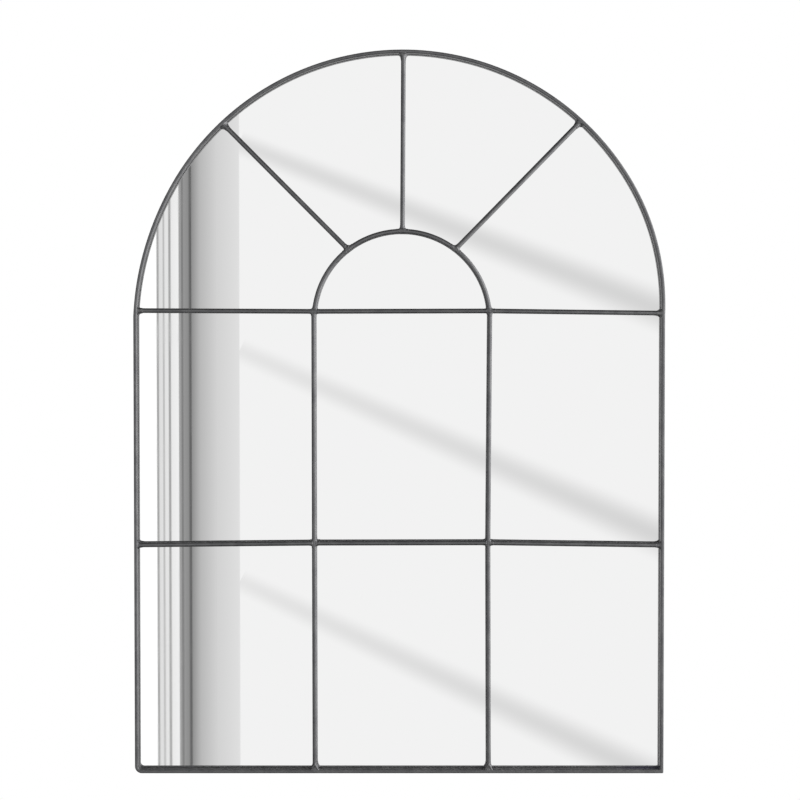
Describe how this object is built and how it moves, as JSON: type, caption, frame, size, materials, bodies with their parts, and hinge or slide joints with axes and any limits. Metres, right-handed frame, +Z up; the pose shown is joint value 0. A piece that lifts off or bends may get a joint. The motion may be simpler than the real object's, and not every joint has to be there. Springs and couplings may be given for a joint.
{
  "type": "arched window mirror",
  "caption": "Arched wall mirror with a slim dark metal frame and welded round bars dividing the glass like a fanlight window, hung by D-rings.",
  "frame": {"origin": "on the wall plane, midway between the two wall hooks that the raised D-rings hang on", "axes": "+Z up, +X to the viewer's right, +Y back into the wall; the mirror faces -Y"},
  "size_m": [0.6102, 0.025, 0.8319],
  "materials": {
    "gunmetal_paint": "satin",
    "black_foam_tape": "matte",
    "silvered_glass": "mirror",
    "white_foam_sheet": "matte",
    "fibreboard": "matte",
    "zinc_plated_steel": "bright zinc plate"
  },
  "bodies": {
    "mirror": {"outer_frame": "gunmetal_paint", "upper_bar": "gunmetal_paint", "lower_bar_left": "gunmetal_paint", "lower_bar_centre": "gunmetal_paint", "lower_bar_right": "gunmetal_paint", "upright_left": "gunmetal_paint", "upright_right": "gunmetal_paint", "inner_arch": "gunmetal_paint", "spoke_left": "gunmetal_paint", "spoke_centre": "gunmetal_paint", "spoke_right": "gunmetal_paint", "tape_upper_bar": "black_foam_tape", "tape_upright_left": "black_foam_tape", "tape_upright_right": "black_foam_tape", "tape_lower_bar_left": "black_foam_tape", "tape_lower_bar_centre": "black_foam_tape", "tape_lower_bar_right": "black_foam_tape", "tape_inner_arch": "black_foam_tape", "tape_spoke_left": "black_foam_tape", "tape_spoke_centre": "black_foam_tape", "tape_spoke_right": "black_foam_tape", "mirror_glass": "silvered_glass", "foam_sheet": "white_foam_sheet", "backing_board": "fibreboard", "tab_bottom_left": "zinc_plated_steel", "tab_bottom_right": "zinc_plated_steel", "tab_left_lower": "zinc_plated_steel", "tab_left_upper": "zinc_plated_steel", "tab_right_lower": "zinc_plated_steel", "tab_right_upper": "zinc_plated_steel", "tab_arch_right": "zinc_plated_steel", "tab_arch_crown": "zinc_plated_steel", "tab_arch_left": "zinc_plated_steel", "hanger_lug_left": "zinc_plated_steel", "hanger_lug_right": "zinc_plated_steel"},
    "ring_left": {"d_ring_left": "zinc_plated_steel"},
    "ring_right": {"d_ring_right": "zinc_plated_steel"}
  },
  "joints": [
    {"name": "ring_left_swing", "type": "hinge", "parent": "mirror", "child": "ring_left", "pos_m": [-0.2747, -0.0052, -0.01675], "axis": [1, 0, 0], "range_deg": [0, 180]},
    {"name": "ring_right_swing", "type": "hinge", "parent": "mirror", "child": "ring_right", "pos_m": [0.2747, -0.0052, -0.01675], "axis": [1, 0, 0], "range_deg": [0, 180]}
  ]
}
